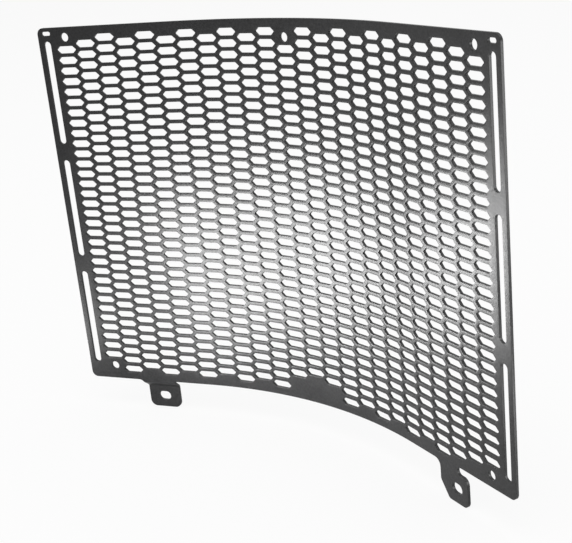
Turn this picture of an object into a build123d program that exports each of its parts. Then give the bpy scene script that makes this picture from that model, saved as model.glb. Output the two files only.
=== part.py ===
from build123d import *
from math import cos, degrees, radians
import os

# Motorcycle radiator guard: one aluminium sheet, cut with a grille of long hexagons and two tabs, then
# bent hollow to the front in narrow flats, one for each column of holes, between two wide flat wings.
# X runs to the right as seen from the front, Y to the back and Z up. The origin lies under the middle
# of the part's box, level with the lower ends of the tabs.

# Sheet
sheet = 1.75
panel_width = 346.4
panel_height = 238.3
roll_radius = 244.4
roll_angle = 19.44
corner_radius = 4.0

# Grille of long hexagons, every second column half a row lower
hole_pitch = 21.46
row_pitch = 10.7
hole_width = 21.1
hole_flat = 14.3
hole_height = 7.5
edge_bar = 2.4
grille_band = 5.2

# Bare plate in the middle of the lower edge
plate_width = 44.0
plate_height = 24.0

# Long slots down each side, and a short vent over them
slots_per_side = 3
slot_from_end = 5.8
slot_width = 5.2
slot_length = 65.8
slot_spacing = 76.4
slot_lift = 1.5
vent_width = 6.5
vent_height = 2.8
vent_below_top = 3.6

# Round fixing holes
fixing_diameter = 5.7
fixing_from_end = 19.2
upper_fixing_below_top = 6.3
middle_fixing_below_top = 10.6
lower_fixing_above_edge = 9.4

# Drop of both tabs below the lower edge, and their bolt slots
tab_drop = 21.1
bolt_slot_length = 8.8
bolt_slot_width = 6.4

# Left tab, stepped to the back
left_bolt = 121.1
left_bolt_above_end = 8.2
left_tab_width = 23.0
left_bolt_to_inner_side = 11.5
step_depth = 4.5
step_drop = 4.0
step_start = 1.4
bend_radius = 2.0
left_flare_radius = 4.4
left_tab_corner = 4.5

# Right tab, flat, with a relief cut that also lifts the lower edge beyond it
right_bolt = 123.5
right_bolt_above_end = 9.2
right_bolt_to_inner_side = 14.6
right_bolt_to_outer_side = 9.3
right_chamfer_width = 7.2
right_chamfer_height = 9.4
right_chamfer_round = 2.5
right_flare_radius = 4.4
right_tab_corner = 4.0
right_shoulder = 4.0
relief_width = 5.0
relief_lift = 2.2
relief_from_bolt = 0.8

# Heights, and places along the sheet from its centre line
lower_edge = tab_drop
upper_edge = lower_edge + panel_height
middle = lower_edge + panel_height / 2
raised_edge = lower_edge + relief_lift
relief_bottom = raised_edge - relief_width
relief_end = right_bolt + relief_from_bolt
through = 2 * sheet
half_width = panel_width / 2
slot_column = half_width - slot_from_end
fixing_column = half_width - fixing_from_end
fixings = [(0, upper_edge - middle_fixing_below_top)]
for side in (-1, 1):
    fixings.append((side * fixing_column, upper_edge - upper_fixing_below_top))
    fixings.append((side * fixing_column, lower_edge + lower_fixing_above_edge))

# As many columns and rows of hexagons as there is room for
grille_reach = slot_column - slot_width / 2 - edge_bar - hole_width / 2
hole_columns = 2 * int(grille_reach / hole_pitch) + 1
hole_rows = int((panel_height - 2 * grille_band - hole_height) / row_pitch + 0.5)

# Middle line of the sheet from its centre to its right end, flat by flat until the wing's angle is reached
flat_turn = degrees(hole_pitch / roll_radius)
flats = int(roll_angle / flat_turn)
with BuildLine() as half_section:
    flat = Line((0, 0), (hole_pitch / 2, 0))
    for turns in range(1, flats + 1):
        flat = PolarLine(flat @ 1, hole_pitch, -turns * flat_turn)
    PolarLine(flat @ 1, half_width - (flats + 0.5) * hole_pitch, -roll_angle)
middle_line = half_section.wires()[0]
hollow = -(middle_line @ 1).Y
box_depth = hollow + sheet / 2 * (1 + cos(radians(roll_angle)))
section_plane = Plane((0, box_depth / 2 - sheet / 2, 0))


def sheet_plane(along):
    """Plane on the middle of the sheet at a place along it: X along the sheet, Y up, Z out of its front."""
    side = -1 if along < 0 else 1
    place = middle_line.position_at(abs(along), position_mode=PositionMode.LENGTH)
    heading = middle_line.tangent_at(abs(along), position_mode=PositionMode.LENGTH)
    origin = section_plane.from_local_coords((side * place.X, place.Y, 0))
    return Plane(origin, x_dir=(heading.X, side * heading.Y, 0), z_dir=(side * heading.Y, -heading.X, 0))


def is_open(along, height):
    """Whether a hexagon has room here, clear of the fixing holes, the bare plate and the lower edge."""
    reach = (hole_width + fixing_diameter) / 2 + edge_bar
    rise = (hole_height + fixing_diameter) / 2 + edge_bar
    if any(abs(along - x) < reach and abs(height - z) < rise for x, z in fixings):
        return False
    if abs(along) < plate_width / 2 and height < lower_edge + plate_height:
        return False
    edge = raised_edge if along > relief_end else lower_edge
    return height - hole_height / 2 - edge > edge_bar


with BuildPart() as guard:
    # The bent sheet, before anything is cut
    with BuildSketch(section_plane.offset(lower_edge)):
        with BuildLine() as whole_section:
            add(half_section.line)
            mirror(about=Plane.YZ)
        trace(whole_section.line, line_width=sheet)
    extrude(amount=panel_height)

    # Right tab: a flat flag in the plane of its wing, drawn with the stretch of edge that it hangs from
    with BuildSketch(sheet_plane(right_bolt)):
        inner = -right_bolt_to_inner_side
        outer = right_bolt_to_outer_side
        root = inner - 2 * right_flare_radius
        Polygon(
            (root, lower_edge + sheet),
            (root, lower_edge),
            (inner, lower_edge),
            (inner, right_chamfer_height),
            (inner + right_chamfer_width, 0),
            (outer, 0),
            (outer, relief_bottom),
            (relief_from_bolt, relief_bottom),
            (relief_from_bolt, lower_edge + sheet),
            align=None,
        )
        for corner, radius in (
            ((inner, lower_edge), right_flare_radius),
            ((inner + right_chamfer_width, 0), right_chamfer_round),
            ((outer, 0), right_tab_corner),
            ((outer, relief_bottom), right_shoulder),
        ):
            fillet(vertices().sort_by_distance(corner)[0], radius=radius)
    extrude(amount=sheet / 2, both=True)

    # Relief cut over the right tab, open to the end of the wing, which also lifts the edge beyond it
    with BuildSketch(sheet_plane(relief_end)):
        with Locations((relief_width / 2, raised_edge - relief_width / 2)):
            Circle(relief_width / 2)
            Rectangle(half_width - relief_end, relief_width, align=(Align.MIN, Align.CENTER))
    extrude(amount=through, both=True, mode=Mode.SUBTRACT)

    # Left tab: a strip bent in a step to the back, then cut to its outline with a flare into the lower edge
    left_root = sheet_plane(-left_bolt)
    strip_width = left_tab_width + left_flare_radius
    strip_middle = left_bolt_to_inner_side - strip_width / 2
    strip_origin = left_root.from_local_coords((strip_middle, 0, 0))
    with BuildSketch(Plane(strip_origin, x_dir=-left_root.z_dir, z_dir=left_root.x_dir)):
        with BuildLine() as step:
            FilletPolyline(
                (0, lower_edge + sheet),
                (0, lower_edge - step_start),
                (step_depth, lower_edge - step_start - step_drop),
                (step_depth, 0),
                radius=bend_radius,
            )
        trace(step.line, line_width=sheet)
    extrude(amount=strip_width / 2, both=True)
    with BuildSketch(left_root):
        outer = left_bolt_to_inner_side - left_tab_width
        with Locations((strip_middle, lower_edge)):
            Rectangle(strip_width + 2 * sheet, lower_edge + sheet, align=(Align.CENTER, Align.MAX))
        with Locations((outer, 0)):
            Rectangle(left_tab_width, lower_edge, align=Align.MIN, mode=Mode.SUBTRACT)
        for corner, radius in (
            ((outer, lower_edge), left_flare_radius),
            ((outer, 0), left_tab_corner),
            ((left_bolt_to_inner_side, 0), left_tab_corner),
        ):
            fillet(vertices().sort_by_distance(corner)[0], radius=radius)
    extrude(amount=step_depth + through, both=True, mode=Mode.SUBTRACT)

    # Rounded corners at the ends of the wings
    by_place = faces().sort_by(Axis.X)
    wing_ends = [by_place[0], by_place[-1]]
    fillet([end.edges().sort_by(SortBy.LENGTH)[:2] for end in wing_ends], radius=corner_radius)

    # Bolt slots in the tabs
    for tab_plane, above_end in (
        (left_root.offset(-step_depth), left_bolt_above_end),
        (sheet_plane(right_bolt), right_bolt_above_end),
    ):
        with BuildSketch(tab_plane):
            with Locations((0, above_end)):
                SlotOverall(bolt_slot_length, bolt_slot_width)
        extrude(amount=through, both=True, mode=Mode.SUBTRACT)

    # Long slots and vents down both sides
    with BuildSketch(sheet_plane(-slot_column), sheet_plane(slot_column)):
        with Locations((0, middle + slot_lift)):
            with GridLocations(0, slot_spacing, 1, slots_per_side):
                SlotOverall(slot_length, slot_width, rotation=90)
        with Locations((0, upper_edge - vent_below_top)):
            SlotOverall(vent_width, vent_height)
    extrude(amount=through, both=True, mode=Mode.SUBTRACT)

    # Round fixing holes
    for along, height in fixings:
        with BuildSketch(sheet_plane(along)):
            with Locations((0, height)):
                Circle(fixing_diameter / 2)
    extrude(amount=through, both=True, mode=Mode.SUBTRACT)

    # Grille, each column square to its own flat, all cut at once
    for column in range(hole_columns):
        along = (column - (hole_columns - 1) / 2) * hole_pitch
        top = middle + ((hole_rows - 0.5) / 2 - 0.5 * (column % 2)) * row_pitch
        heights = [top - row * row_pitch for row in range(hole_rows)]
        with BuildSketch(sheet_plane(along)):
            with Locations(*[(0, height) for height in heights if is_open(along, height)]):
                Polygon(
                    (hole_width / 2, 0),
                    (hole_flat / 2, hole_height / 2),
                    (-hole_flat / 2, hole_height / 2),
                    (-hole_width / 2, 0),
                    (-hole_flat / 2, -hole_height / 2),
                    (hole_flat / 2, -hole_height / 2),
                )
    extrude(amount=through, both=True, mode=Mode.SUBTRACT)

os.makedirs("parts", exist_ok=True)
guard.part.label = "guard_panel"
export_step(guard.part, "parts/guard_panel.step")
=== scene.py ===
"""Looks of a motorcycle radiator guard: one sheet of metal, cut, folded at a tab, rolled and powder coated.

The sheet is modelled the way it is made. Its blank is drawn flat, in millimetres, with X along the sheet,
Y up and Z out of its front. It gets its thickness and its rounded edges there, then its left tab is folded,
and last of all the sheet is rolled into the CAD frame, in metres.
"""

import logging
import math
from collections.abc import Iterator, Sequence
from dataclasses import dataclass, field
from enum import Enum
from typing import Any, NamedTuple

import bmesh
import bpy
from mathutils import Matrix, Vector


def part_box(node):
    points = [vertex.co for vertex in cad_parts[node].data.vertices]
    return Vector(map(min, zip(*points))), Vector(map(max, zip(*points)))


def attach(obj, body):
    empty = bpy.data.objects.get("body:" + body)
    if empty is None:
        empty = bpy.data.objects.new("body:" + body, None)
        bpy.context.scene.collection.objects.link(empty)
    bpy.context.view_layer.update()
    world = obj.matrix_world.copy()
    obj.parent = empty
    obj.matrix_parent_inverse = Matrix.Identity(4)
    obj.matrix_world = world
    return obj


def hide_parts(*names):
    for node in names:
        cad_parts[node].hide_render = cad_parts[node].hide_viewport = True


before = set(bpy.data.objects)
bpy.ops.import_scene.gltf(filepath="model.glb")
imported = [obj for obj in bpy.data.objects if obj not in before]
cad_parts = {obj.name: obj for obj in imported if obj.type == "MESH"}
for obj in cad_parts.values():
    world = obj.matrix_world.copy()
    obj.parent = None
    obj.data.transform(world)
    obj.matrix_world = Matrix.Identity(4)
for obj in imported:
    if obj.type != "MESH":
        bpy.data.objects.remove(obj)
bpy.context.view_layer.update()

log = logging.getLogger("radiator_guard")

METRES_PER_MM = 0.001
NODE = "guard_panel"
BODY = "root"
PHOTO_WIDTH = 572
WHITE = (1.0, 1.0, 1.0, 1.0)
NOISE_MEAN = 0.5
MIDDLE_TONE = 0.5


class Corner(NamedTuple):
    """A corner of an outline on the flat sheet, in millimetres, and the radius that it is rounded to."""

    along: float
    up: float
    radius: float = 0.0


class Side(Enum):
    """The two sides of the guard, as seen from its front."""

    LEFT = -1
    RIGHT = 1


class Wire:
    """A socket of a node tree, wrapped so that shader maths reads as a plain expression."""

    def __init__(self, graph: "Graph", socket: bpy.types.NodeSocket) -> None:
        """Wraps a socket.

        Args:
            graph: The graph that new Math nodes are added to.
            socket: The output socket that carries the value.
        """
        self.graph = graph
        self.socket = socket

    def _maths(self, operation: str, first: "Wire | float", second: "Wire | float") -> "Wire":
        """Adds a Math node.

        Args:
            operation: Name of the Math node's operation.
            first: First value or link.
            second: Second value or link.

        Returns:
            The wire that carries the result.
        """
        node = self.graph.node("ShaderNodeMath", {"operation": operation}, {0: first, 1: second})
        return Wire(self.graph, node.outputs[0])

    def __add__(self, other: "Wire | float") -> "Wire":
        """This wire plus another value."""
        return self._maths("ADD", self, other)

    def __radd__(self, other: "Wire | float") -> "Wire":
        """Another value plus this wire."""
        return self._maths("ADD", other, self)

    def __sub__(self, other: "Wire | float") -> "Wire":
        """This wire minus another value."""
        return self._maths("SUBTRACT", self, other)

    def __rsub__(self, other: "Wire | float") -> "Wire":
        """Another value minus this wire."""
        return self._maths("SUBTRACT", other, self)

    def __mul__(self, other: "Wire | float") -> "Wire":
        """This wire times another value."""
        return self._maths("MULTIPLY", self, other)

    def __rmul__(self, other: "Wire | float") -> "Wire":
        """Another value times this wire."""
        return self._maths("MULTIPLY", other, self)

    def __or__(self, other: "Wire | float") -> "Wire":
        """The larger of this wire and another value."""
        return self._maths("MAXIMUM", self, other)


class Graph:
    """A node tree that is written from left to right."""

    def __init__(self, tree: bpy.types.NodeTree) -> None:
        """Takes over a node tree and empties it.

        Args:
            tree: The tree of a material or of the world.
        """
        self.tree = tree
        tree.nodes.clear()

    def node(self, kind: str, settings: dict[str, Any] | None = None,
             inputs: dict[str | int, Any] | None = None) -> bpy.types.Node:
        """Adds one node.

        Args:
            kind: Blender's name of the node's type.
            settings: Properties of the node, which are set first.
            inputs: Values or wires for the node's input sockets, by name or number.

        Returns:
            The new node.
        """
        node = self.tree.nodes.new(kind)
        for name, value in (settings or {}).items():
            setattr(node, name, value)
        for key, value in (inputs or {}).items():
            socket = node.inputs[key]
            if isinstance(value, Wire):
                self.tree.links.new(value.socket, socket)
            else:
                socket.default_value = value
        return node

    def wire(self, kind: str, output: str | int, settings: dict[str, Any] | None = None,
             inputs: dict[str | int, Any] | None = None) -> Wire:
        """Adds one node and takes one of its outputs.

        Args:
            kind: Blender's name of the node's type.
            output: Name or number of the output socket.
            settings: Properties of the node, which are set first.
            inputs: Values or wires for the node's input sockets.

        Returns:
            The wire from that output.
        """
        return Wire(self, self.node(kind, settings, inputs).outputs[output])


@dataclass(frozen=True)
class PowderCoat:
    """Satin near-black powder coat with a fine, even grain. Lengths are in millimetres."""

    # Colour, from the dark to the light end of the grain
    dark: tuple[float, float, float] = (0.0040, 0.0040, 0.0042)
    light: tuple[float, float, float] = (0.0240, 0.0240, 0.0247)
    grain_contrast: float = 1.6
    mottle_in_colour: float = 0.2

    # Gloss
    roughness: float = 0.375
    roughness_spread: float = 0.22
    mottle_in_gloss: float = 0.4
    specular_level: float = 0.23

    # Sizes of the patterns, how many finer octaves each has, and how deep they are
    grain: float = 1.2
    grain_detail: float = 2.0
    grain_depth: float = 0.040
    orange_peel: float = 2.2
    peel_detail: float = 1.0
    peel_depth: float = 0.030
    mottle: float = 9.0
    mottle_detail: float = 3.0

    def _noise(self, graph: Graph, place: Wire, size: float, detail: float) -> Wire:
        """Adds a noise pattern.

        Args:
            graph: The material's graph.
            place: Object coordinates, in metres.
            size: Size of one grain.
            detail: Number of finer octaves.

        Returns:
            The wire with the pattern's value, about 0.5 on average.
        """
        inputs = {"Vector": place, "Scale": 1.0 / (size * METRES_PER_MM), "Detail": detail}
        return graph.wire("ShaderNodeTexNoise", "Fac", inputs=inputs)

    def _blend(self, grain: Wire, mottle: Wire, share: float) -> Wire:
        """Grain with a share of mottle in it, about 0 on average."""
        return (1.0 - share) * grain + share * mottle - NOISE_MEAN

    def material(self, name: str) -> bpy.types.Material:
        """Makes the coat's material.

        Args:
            name: Name of the material.

        Returns:
            The material, with its nodes.
        """
        coat = bpy.data.materials.new(name)
        coat.use_nodes = True
        graph = Graph(coat.node_tree)
        place = graph.wire("ShaderNodeTexCoord", "Object")
        grain = self._noise(graph, place, self.grain, self.grain_detail)
        peel = self._noise(graph, place, self.orange_peel, self.peel_detail)
        mottle = self._noise(graph, place, self.mottle, self.mottle_detail)
        speckle = MIDDLE_TONE + self.grain_contrast * self._blend(grain, mottle, self.mottle_in_colour)
        tone = graph.wire(
            "ShaderNodeMix", 2, {"data_type": "RGBA"},
            {0: speckle, 6: (*self.dark, 1.0), 7: (*self.light, 1.0)},
        )
        spread = self.roughness_spread * self._blend(grain, mottle, self.mottle_in_gloss)
        roughness = self.roughness + spread
        height = self.grain_depth * METRES_PER_MM * grain + self.peel_depth * METRES_PER_MM * peel
        relief = {"Strength": 1.0, "Distance": 1.0, "Height": height}
        bump = graph.wire("ShaderNodeBump", "Normal", inputs=relief)
        shader = graph.wire("ShaderNodeBsdfPrincipled", "BSDF", inputs={
            "Base Color": tone,
            "Roughness": roughness,
            "Specular IOR Level": self.specular_level,
            "Normal": bump,
        })
        graph.node("ShaderNodeOutputMaterial", inputs={"Surface": shader})
        return coat


@dataclass(frozen=True)
class Roll:
    """How the flat sheet is rolled: a round middle between two flat wings, hollow to the front."""

    radius: float
    half_angle: float
    back: float

    def place(self, point: Vector) -> Vector:
        """Carries a point of the flat sheet to the rolled one.

        Args:
            point: Place along the sheet, up it and out of its front.

        Returns:
            The point in the part's frame, in millimetres.
        """
        half_arc = self.radius * self.half_angle
        along = min(max(point.x, -half_arc), half_arc)
        turn = along / self.radius
        wing = point.x - along
        sine, cosine = math.sin(turn), math.cos(turn)
        x = self.radius * sine + wing * cosine - point.z * sine
        y = self.back - self.radius * (1.0 - cosine) - wing * sine - point.z * cosine
        return Vector((x, y, point.y))


@dataclass(frozen=True)
class StepFold:
    """The double bend that sets a tab back behind the sheet, worked out on the middle of the sheet."""

    corner: float
    depth: float
    drop: float
    bend_radius: float
    cuts_per_bend: int = 4

    @property
    def angle(self) -> float:
        """Angle that each of the two bends turns through."""
        return math.atan2(self.depth, self.drop)

    @property
    def reach(self) -> float:
        """Length from a bend's corner to where its arc starts."""
        return self.bend_radius * math.tan(self.angle / 2.0)

    @property
    def top(self) -> float:
        """Height at which the first bend starts."""
        return self.corner + self.reach

    @property
    def arc(self) -> float:
        """Length of sheet in one bend."""
        return self.bend_radius * self.angle

    @property
    def slope(self) -> float:
        """Length of flat sheet between the two bends."""
        return math.hypot(self.depth, self.drop) - 2.0 * self.reach

    @property
    def gain(self) -> float:
        """How much longer the flat tab is than the folded one is deep."""
        return 2.0 * self.arc + self.slope - self.drop - 2.0 * self.reach

    def creases(self) -> Iterator[float]:
        """Heights on the flat sheet at which the bends need a row of vertices."""
        for start in (0.0, self.arc + self.slope):
            for cut in range(self.cuts_per_bend + 1):
                yield self.top - start - self.arc * cut / self.cuts_per_bend

    def place(self, point: Vector) -> Vector:
        """Folds a point of the flat sheet.

        Args:
            point: Place along the sheet, up it and out of its front.

        Returns:
            The folded point, in the same axes.
        """
        run = self.top - point.y
        if run <= 0.0:
            return point
        first = min(run, self.arc)
        flat = min(max(run - self.arc, 0.0), self.slope)
        second = min(max(run - self.arc - self.slope, 0.0), self.arc)
        rest = max(run - 2.0 * self.arc - self.slope, 0.0)
        tilt = first / self.bend_radius
        down = self.bend_radius * math.sin(tilt) + flat * math.cos(tilt)
        back = self.bend_radius * (1.0 - math.cos(tilt)) + flat * math.sin(tilt)
        turned = tilt - second / self.bend_radius
        down += self.bend_radius * (math.sin(tilt) - math.sin(turned)) + rest
        back += self.bend_radius * (math.cos(turned) - math.cos(tilt))
        up = self.top - down - point.z * math.sin(turned)
        return Vector((point.x, up, point.z * math.cos(turned) - back))


@dataclass(frozen=True)
class Hexagon:
    """One long hexagon of the grille and its share of the bars around it. Lengths are in millimetres."""

    column_pitch: float = 14.0
    row_pitch: float = 6.674
    width: float = 14.3
    flat: float = 9.4
    height: float = 4.55
    corner_reach: float = 0.3
    share_flat: float = 10.9

    def _ring(self, mesh: bmesh.types.BMesh, width: float, flat: float,
              height: float) -> list[bmesh.types.BMVert]:
        """Draws a long hexagon as a face.

        Args:
            mesh: The mesh that is drawn in.
            width: Overall width, from point to point.
            flat: Length of the level sides.
            height: Height between the level sides.

        Returns:
            The hexagon's vertices, in order.
        """
        corners = [(width / 2.0, 0.0), (flat / 2.0, height / 2.0), (-flat / 2.0, height / 2.0)]
        corners += [(-along, -up) for along, up in corners]
        vertices = [mesh.verts.new((along, up, 0.0)) for along, up in corners]
        mesh.faces.new(vertices)
        return vertices

    def cell(self, mesh: bmesh.types.BMesh) -> None:
        """Draws the bars around one hexagon, half their width each way, at the origin.

        The rim of the hole is marked as a seam, which tells it from the outer edge of the grille.

        Args:
            mesh: An empty mesh.
        """
        rim = self._ring(mesh, self.width, self.flat, self.height)
        bmesh.ops.bevel(
            mesh, geom=rim, offset=self.corner_reach, offset_type="OFFSET", affect="VERTICES",
            segments=1, profile=0.5, material=-1,
        )
        for edge in mesh.edges:
            edge.seam = True
        share_width = 2.0 * self.column_pitch - self.share_flat
        self._ring(mesh, share_width, self.share_flat, self.row_pitch)
        bmesh.ops.delete(mesh, geom=mesh.faces[:], context="FACES_ONLY")
        bmesh.ops.bridge_loops(mesh, edges=mesh.edges[:])


@dataclass
class GuardSheet:
    """The whole guard: a sheet with a grille, slotted sides and two tabs. Lengths are in millimetres.

    The openings are measured with the coat on, which makes them 0.2 mm narrower than in the bare sheet.
    """

    # Sheet
    thickness: float = 1.75
    panel_height: float = 238.3
    roll_radius: float = 244.4
    roll_angle: float = math.radians(19.44)
    corner_radius: float = 4.0
    edge_round: float = 0.10

    # Grille, every second column lower by a share of a row, and the bare plate at its lower edge
    hexagon: Hexagon = field(default_factory=Hexagon)
    columns: int = 23
    rows: int = 34
    stagger: float = 0.5
    edge_bar: float = 3.0
    plate_width: float = 44.0
    plate_height: float = 14.8

    # Long slots down each side, and a short vent over them
    slots_per_side: int = 3
    slot_from_end: float = 6.05
    slot_width: float = 5.0
    slot_length: float = 65.6
    slot_spacing: float = 76.4
    slot_lift: float = 1.5
    vent_width: float = 6.3
    vent_height: float = 2.6
    vent_below_top: float = 3.6

    # Round fixing holes
    fixing_diameter: float = 5.5
    fixing_from_end: float = 19.2
    upper_fixing_below_top: float = 6.3
    middle_fixing_below_top: float = 10.6
    lower_fixing_above_edge: float = 9.4

    # Bolt slots of both tabs
    bolt_slot_length: float = 8.6
    bolt_slot_width: float = 6.2

    # Left tab, stepped to the back
    left_bolt: float = -121.1
    left_bolt_above_end: float = 8.2
    left_bolt_to_inner: float = 11.5
    left_bolt_to_outer: float = 11.5
    left_flare: float = 4.4
    left_corner: float = 4.5
    step_start: float = 1.4
    step_depth: float = 4.5
    step_drop: float = 4.0
    step_bend: float = 2.0

    # Right tab, flat, with a relief cut that also lifts the lower edge beyond it
    right_bolt: float = 123.5
    right_bolt_above_end: float = 9.2
    right_bolt_to_inner: float = 14.6
    right_bolt_to_outer: float = 9.3
    right_chamfer_width: float = 7.2
    right_chamfer_height: float = 9.4
    right_chamfer_round: float = 2.5
    right_flare: float = 4.4
    right_corner: float = 4.0
    right_shoulder: float = 4.0
    relief_width: float = 5.0
    relief_lift: float = 2.2
    relief_from_bolt: float = 0.8

    # Fineness of the mesh
    round_cuts: int = 6
    edge_step: float = 7.0
    hole_cuts: int = 32
    sharp_angle: float = math.radians(55.0)
    rim_angle: float = math.radians(60.0)
    weld: float = 0.02
    crease_weld: float = 0.002

    def __post_init__(self) -> None:
        """Takes the heights and the overall width from the CAD node's box."""
        low, high = (corner / METRES_PER_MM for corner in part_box(NODE))
        self.upper_edge = high.z
        self.lower_edge = high.z - self.panel_height
        self.tab_end = low.z
        self.middle = self.lower_edge + self.panel_height / 2.0
        sine, cosine = math.sin(self.roll_angle), math.cos(self.roll_angle)
        wing = (high.x - (self.roll_radius + self.thickness / 2.0) * sine) / cosine
        self.half_width = self.roll_radius * self.roll_angle + wing
        self.roll = Roll(self.roll_radius, self.roll_angle, high.y - self.thickness / 2.0)
        step_corner = self.lower_edge - self.step_start
        self.fold = StepFold(step_corner, self.step_depth, self.step_drop, self.step_bend)

    def fixings(self) -> list[tuple[float, float]]:
        """Centres of the five round holes, along the sheet and up it."""
        centres = [(0.0, self.upper_edge - self.middle_fixing_below_top)]
        for side in Side:
            along = side.value * (self.half_width - self.fixing_from_end)
            centres.append((along, self.upper_edge - self.upper_fixing_below_top))
            centres.append((along, self.lower_edge + self.lower_fixing_above_edge))
        return centres

    def is_open(self, along: float, up: float) -> bool:
        """Says whether a hexagon has room at a place of the grille.

        Args:
            along: Its centre along the sheet.
            up: Its centre up the sheet.

        Returns:
            True if it is clear of the round holes, the bare plate and the lower edge.
        """
        reach = (self.hexagon.width + self.fixing_diameter) / 2.0
        rise = (self.hexagon.height + self.fixing_diameter) / 2.0
        if any(abs(along - x) < reach and abs(up - z) < rise for x, z in self.fixings()):
            return False
        if abs(along) < self.plate_width / 2.0 and up < self.lower_edge + self.plate_height:
            return False
        beyond_relief = along > self.right_bolt + self.relief_from_bolt
        edge = self.lower_edge + (self.relief_lift if beyond_relief else 0.0)
        return up - self.hexagon.height / 2.0 - edge > self.edge_bar

    def places(self) -> Iterator[tuple[float, float]]:
        """Centres of the hexagons that have room, column by column."""
        for column in range(self.columns):
            along = (column - (self.columns - 1) / 2.0) * self.hexagon.column_pitch
            top = (self.rows - 1 + self.stagger) / 2.0 - self.stagger * (column % 2)
            for row in range(self.rows):
                up = self.middle + (top - row) * self.hexagon.row_pitch
                if self.is_open(along, up):
                    yield along, up

    def outline(self) -> list[Corner]:
        """Corners of the blank, from its upper left corner round by the right, with the left tab unfolded."""
        end, low, high = self.half_width, self.lower_edge, self.upper_edge
        raised = low + self.relief_lift
        slit = raised - self.relief_width
        slit_end = self.right_bolt + self.relief_from_bolt
        slit_round = self.relief_width / 2.0
        inner = self.right_bolt - self.right_bolt_to_inner
        outer = self.right_bolt + self.right_bolt_to_outer
        left_inner = self.left_bolt + self.left_bolt_to_inner
        left_outer = self.left_bolt - self.left_bolt_to_outer
        left_end = self.tab_end - self.fold.gain
        return [
            Corner(-end, high, self.corner_radius),
            Corner(end, high, self.corner_radius),
            Corner(end, raised, self.corner_radius),
            Corner(slit_end, raised, slit_round),
            Corner(slit_end, slit, slit_round),
            Corner(outer, slit, self.right_shoulder),
            Corner(outer, self.tab_end, self.right_corner),
            Corner(inner + self.right_chamfer_width, self.tab_end, self.right_chamfer_round),
            Corner(inner, self.tab_end + self.right_chamfer_height, self.right_chamfer_round),
            Corner(inner, low, self.right_flare),
            Corner(left_inner, low),
            Corner(left_inner, left_end, self.left_corner),
            Corner(left_outer, left_end, self.left_corner),
            Corner(left_outer, low, self.left_flare),
            Corner(-end, low, self.corner_radius),
        ]

    def draw_loop(self, mesh: bmesh.types.BMesh, corners: Sequence[Corner]) -> None:
        """Draws a closed outline with rounded corners, as edges.

        Args:
            mesh: The mesh that is drawn in.
            corners: The outline's corners, in order.
        """
        vertices = [mesh.verts.new((corner.along, corner.up, 0.0)) for corner in corners]
        count = len(vertices)
        for number in range(count):
            mesh.edges.new((vertices[number], vertices[(number + 1) % count]))
        for number, (vertex, corner) in enumerate(zip(vertices, corners)):
            if not corner.radius:
                continue
            before, after = corners[number - 1], corners[(number + 1) % count]
            back = Vector((before.along - corner.along, before.up - corner.up))
            ahead = Vector((after.along - corner.along, after.up - corner.up))
            reach = corner.radius / math.tan(back.angle(ahead) / 2.0)
            bmesh.ops.bevel(
                mesh, geom=[vertex], offset=reach, offset_type="OFFSET", affect="VERTICES",
                segments=self.round_cuts, profile=0.5, material=-1,
            )

    def draw_slot(self, mesh: bmesh.types.BMesh, along: float, up: float,
                  width: float, height: float) -> None:
        """Draws a slot with round ends.

        Args:
            mesh: The mesh that is drawn in.
            along: Its centre along the sheet.
            up: Its centre up the sheet.
            width: Its size along the sheet.
            height: Its size up the sheet.
        """
        radius = min(width, height) / 2.0
        signs = ((1, 1), (-1, 1), (-1, -1), (1, -1))
        corners = [Corner(along + x * width / 2.0, up + y * height / 2.0, radius) for x, y in signs]
        self.draw_loop(mesh, corners)

    def draw_cuts(self, mesh: bmesh.types.BMesh) -> None:
        """Draws the outline, the slots and the round holes, all as edges.

        Args:
            mesh: An empty mesh.
        """
        self.draw_loop(mesh, self.outline())
        for side in Side:
            along = side.value * (self.half_width - self.slot_from_end)
            for number in range(self.slots_per_side):
                lift = (number - (self.slots_per_side - 1) / 2.0) * self.slot_spacing + self.slot_lift
                self.draw_slot(mesh, along, self.middle + lift, self.slot_width, self.slot_length)
            vent_up = self.upper_edge - self.vent_below_top
            self.draw_slot(mesh, along, vent_up, self.vent_width, self.vent_height)
        bolts = (
            (self.left_bolt, self.left_bolt_above_end - self.fold.gain),
            (self.right_bolt, self.right_bolt_above_end),
        )
        for along, above_end in bolts:
            up = self.tab_end + above_end
            self.draw_slot(mesh, along, up, self.bolt_slot_length, self.bolt_slot_width)
        for along, up in self.fixings():
            bmesh.ops.create_circle(
                mesh, cap_ends=False, segments=self.hole_cuts, radius=self.fixing_diameter / 2.0,
                matrix=Matrix.Translation((along, up, 0.0)),
            )
        bmesh.ops.remove_doubles(mesh, verts=mesh.verts[:], dist=self.weld)
        for edge in mesh.edges[:]:
            pieces = int(edge.calc_length() / self.edge_step)
            if pieces > 1:
                bmesh.ops.subdivide_edges(mesh, edges=[edge], cuts=pieces - 1)

    def lay_grille(self, mesh: bmesh.types.BMesh) -> None:
        """Lays the bars around every open hexagon and welds them together.

        Args:
            mesh: The mesh with the outline.
        """
        pattern = bpy.data.meshes.new("hexagon")
        drawing = bmesh.new()
        self.hexagon.cell(drawing)
        drawing.to_mesh(pattern)
        drawing.free()
        for along, up in self.places():
            known = len(mesh.verts)
            mesh.from_mesh(pattern)
            mesh.verts.ensure_lookup_table()
            bmesh.ops.translate(mesh, verts=mesh.verts[known:], vec=(along, up, 0.0))
        bpy.data.meshes.remove(pattern)
        bmesh.ops.remove_doubles(mesh, verts=mesh.verts[:], dist=self.weld)

    def in_left_tab(self, vertex: bmesh.types.BMVert) -> bool:
        """Whether a vertex of the flat sheet lies in the left tab, below the lower edge."""
        return vertex.co.x < 0.0 and vertex.co.y < self.lower_edge

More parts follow.
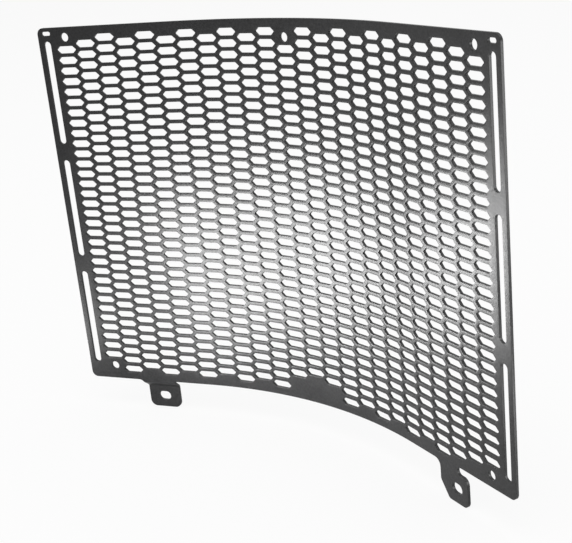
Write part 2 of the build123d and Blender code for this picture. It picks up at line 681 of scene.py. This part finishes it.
    def fill_border(self, mesh: bmesh.types.BMesh) -> None:
        """Fills the plain sheet between the grille and the cuts, and creases the left tab for its folds.

        Args:
            mesh: The mesh with the outline and the grille.
        """
        border = [edge for edge in mesh.edges if edge.is_wire or (edge.is_boundary and not edge.seam)]
        bmesh.ops.triangle_fill(mesh, use_beauty=True, edges=border, normal=(0.0, 0.0, 1.0))
        for height in self.fold.creases():
            tab = [face for face in mesh.faces if any(self.in_left_tab(vertex) for vertex in face.verts)]
            parts = dict.fromkeys(part for face in tab for part in (face, *face.edges, *face.verts))
            bmesh.ops.bisect_plane(
                mesh, geom=list(parts), dist=self.crease_weld,
                plane_co=(0.0, height, 0.0), plane_no=(0.0, 1.0, 0.0),
            )

    def is_rim(self, edge: bmesh.types.BMEdge) -> bool:
        """Whether an edge of the thick sheet runs along a cut, at its front or its back."""
        is_level = abs(edge.verts[0].co.z - edge.verts[1].co.z) < self.weld
        return is_level and edge.calc_face_angle() > self.rim_angle

    def thicken(self, mesh: bmesh.types.BMesh) -> None:
        """Gives the flat sheet its thickness and rounds all its cut edges.

        Args:
            mesh: The mesh of the flat sheet's faces.
        """
        lifted = bmesh.ops.extrude_face_region(mesh, geom=mesh.faces[:])["geom"]
        front = [part for part in lifted if isinstance(part, bmesh.types.BMVert)]
        bmesh.ops.translate(mesh, verts=front, vec=(0.0, 0.0, self.thickness))
        bmesh.ops.translate(mesh, verts=mesh.verts[:], vec=(0.0, 0.0, -self.thickness / 2.0))
        bmesh.ops.recalc_face_normals(mesh, faces=mesh.faces[:])
        rims = [edge for edge in mesh.edges if self.is_rim(edge)]
        bmesh.ops.bevel(
            mesh, geom=rims, offset=self.edge_round, offset_type="OFFSET", affect="EDGES",
            segments=1, profile=0.5, material=-1, clamp_overlap=False,
        )

    def bend(self, mesh: bmesh.types.BMesh) -> None:
        """Folds the left tab, rolls the sheet and turns its lengths into metres.

        Args:
            mesh: The mesh of the flat, thick sheet.
        """
        for vertex in mesh.verts:
            folded = self.fold.place(vertex.co) if self.in_left_tab(vertex) else vertex.co
            vertex.co = self.roll.place(folded) * METRES_PER_MM

    def build(self, coat: bpy.types.Material) -> bpy.types.Object:
        """Makes the finished sheet.

        Args:
            coat: The material that covers it.

        Returns:
            The object, at the origin, with its place in its mesh.
        """
        mesh = bmesh.new()
        self.draw_cuts(mesh)
        self.lay_grille(mesh)
        self.fill_border(mesh)
        self.thicken(mesh)
        self.bend(mesh)
        for face in mesh.faces:
            face.smooth = True
        for edge in mesh.edges:
            edge.seam = False
            edge.smooth = edge.calc_face_angle(0.0) < self.sharp_angle
        data = bpy.data.meshes.new("guard_sheet")
        mesh.to_mesh(data)
        mesh.free()
        data.materials.append(coat)
        piece = bpy.data.objects.new("guard_sheet", data)
        bpy.context.scene.collection.objects.link(piece)
        normals = piece.modifiers.new("flat_faces_stay_flat", "WEIGHTED_NORMAL")
        normals.keep_sharp = True
        return piece


@dataclass(frozen=True)
class SoftLamp:
    """A soft oval lamp that the camera doesn't see. Lengths are in metres."""

    name: str
    place: tuple[float, float, float]
    target: tuple[float, float, float]
    width: float
    height: float
    watts: float

    def hang(self) -> bpy.types.Object:
        """Adds the lamp to the scene.

        Returns:
            The lamp, turned to its target.
        """
        data = bpy.data.lights.new(self.name, "AREA")
        data.shape = "ELLIPSE"
        data.size, data.size_y = self.width, self.height
        data.energy = self.watts
        lamp = bpy.data.objects.new(self.name, data)
        place = Vector(self.place)
        facing = (Vector(self.target) - place).to_track_quat("-Z", "Y")
        lamp.matrix_world = Matrix.Translation(place) @ facing.to_matrix().to_4x4()
        lamp.visible_camera = False
        bpy.context.scene.collection.objects.link(lamp)
        return lamp


@dataclass(frozen=True)
class Studio:
    """A pale floor, a surround that is seen as white, and soft lamps. Lengths are in metres."""

    floor_size: float = 8.0
    floor_colour: tuple[float, float, float] = (0.92, 0.92, 0.92)
    floor_glow: float = 0.90
    surround_light: float = 0.45
    overhead: SoftLamp = SoftLamp("overhead_lamp", (0.3, -0.5, 2.8), (0.0, 0.0, 0.1), 2.4, 2.4, 40.0)
    near_lamps: tuple[SoftLamp, ...] = (
        SoftLamp("strip_lamp", (-0.2469, -0.3455, 0.034), (0.7371, -0.5216, 0.034), 0.6913, 0.0585, 1.20),
        SoftLamp("sheen_lamp", (-0.0915, -0.0854, 0.0741), (0.0548, 0.0485, 0.1301), 0.0352, 0.1258, 0.50),
        SoftLamp("low_lamp", (-0.05, -0.10, 0.035), (0.165, -0.02, 0.11), 0.05, 0.06, 0.05),
        SoftLamp("foot_lamp", (-0.15, -0.10, 0.03), (-0.12, -0.005, 0.04), 0.10, 0.04, 0.04),
        SoftLamp("side_lamp", (0.45, 0.05, 0.18), (0.16, -0.02, 0.20), 0.16, 0.22, 0.95),
        SoftLamp("low_side_lamp", (0.27, -0.02, 0.035), (0.165, -0.02, 0.05), 0.06, 0.05, 0.12),
        SoftLamp("rim_lamp", (0.373, 0.202, 0.654), (0.12, 0.0, 0.14), 0.35, 0.35, 0.7),
    )

    def _seen(self, graph: Graph) -> Wire:
        """Wire that is 1 where the eye, a reflection or a clear surface looks, and 0 for other light."""
        path = graph.node("ShaderNodeLightPath")
        camera = Wire(graph, path.outputs["Is Camera Ray"])
        gloss = Wire(graph, path.outputs["Is Glossy Ray"])
        clear = Wire(graph, path.outputs["Is Transmission Ray"])
        return camera | gloss | clear

    def lay_floor(self) -> bpy.types.Object:
        """Lays the floor under the guard.

        Returns:
            The floor.
        """
        material = bpy.data.materials.new("pale_floor")
        material.use_nodes = True
        graph = Graph(material.node_tree)
        paint = graph.wire("ShaderNodeBsdfDiffuse", "BSDF", inputs={"Color": (*self.floor_colour, 1.0)})
        glow = graph.wire("ShaderNodeEmission", "Emission", inputs={"Color": WHITE, "Strength": 1.0})
        share = self.floor_glow * self._seen(graph)
        mix = graph.wire("ShaderNodeMixShader", 0, inputs={0: share, 1: paint, 2: glow})
        graph.node("ShaderNodeOutputMaterial", inputs={"Surface": mix})
        mesh = bmesh.new()
        bmesh.ops.create_grid(mesh, x_segments=1, y_segments=1, size=self.floor_size / 2.0)
        data = bpy.data.meshes.new("floor")
        mesh.to_mesh(data)
        mesh.free()
        data.materials.append(material)
        floor = bpy.data.objects.new("floor", data)
        bpy.context.scene.collection.objects.link(floor)
        return floor

    def surround(self) -> None:
        """Makes the world around the floor, white where it is seen and dimmer as light on the guard."""
        world = bpy.data.worlds.new("surround")
        bpy.context.scene.world = world
        world.use_nodes = True
        graph = Graph(world.node_tree)
        strength = self.surround_light + (1.0 - self.surround_light) * self._seen(graph)
        light = graph.wire("ShaderNodeBackground", 0, inputs={"Color": WHITE, "Strength": strength})
        graph.node("ShaderNodeOutputWorld", inputs={"Surface": light})

    def light(self, piece: bpy.types.Object) -> None:
        """Hangs the lamps. The near ones light the guard alone, so that the floor keeps its shadow.

        Args:
            piece: The guard.
        """
        self.overhead.hang()
        lit = bpy.data.collections.new("lit_by_near_lamps")
        lit.objects.link(piece)
        for near_lamp in self.near_lamps:
            near_lamp.hang().light_linking.receiver_collection = lit
            log.info("%s hung", near_lamp.name)


@dataclass(frozen=True)
class ViewPoint:
    """The camera at the photograph's place, in metres, with its lens from the focal length in pixels."""

    eye: tuple[float, float, float] = (0.43356, -0.46895, 0.33186)
    forward: tuple[float, float, float] = (-0.640299, 0.697694, -0.321310)
    right: tuple[float, float, float] = (0.754972, 0.648711, -0.095877)
    focal_pixels: float = 1146.4
    sensor: float = 36.0

    def set_up(self) -> bpy.types.Object:
        """Makes the camera and gives it to the scene.

        Returns:
            The camera.
        """
        data = bpy.data.cameras.new("camera")
        data.sensor_fit = "HORIZONTAL"
        data.sensor_width = self.sensor
        data.lens = self.focal_pixels / PHOTO_WIDTH * self.sensor
        camera = bpy.data.objects.new("camera", data)
        back = -Vector(self.forward).normalized()
        right = Vector(self.right).normalized()
        up = back.cross(right)
        turn = Matrix((right, up, back)).transposed().to_4x4()
        camera.matrix_world = Matrix.Translation(self.eye) @ turn
        bpy.context.scene.collection.objects.link(camera)
        bpy.context.scene.camera = camera
        return camera


def main() -> None:
    """Builds the guard, its finish and the studio around it."""
    logging.basicConfig(level=logging.INFO)
    coat = PowderCoat().material("powder_coat_satin_black")
    piece = GuardSheet().build(coat)
    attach(piece, BODY)
    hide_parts(NODE)
    log.info("%s: %d faces", piece.name, len(piece.data.polygons))
    studio = Studio()
    log.info("%s laid", studio.lay_floor().name)
    studio.surround()
    studio.light(piece)
    log.info("%s set", ViewPoint().set_up().name)
    bpy.context.scene.view_settings.view_transform = "Standard"


if __name__ == "__main__":
    main()
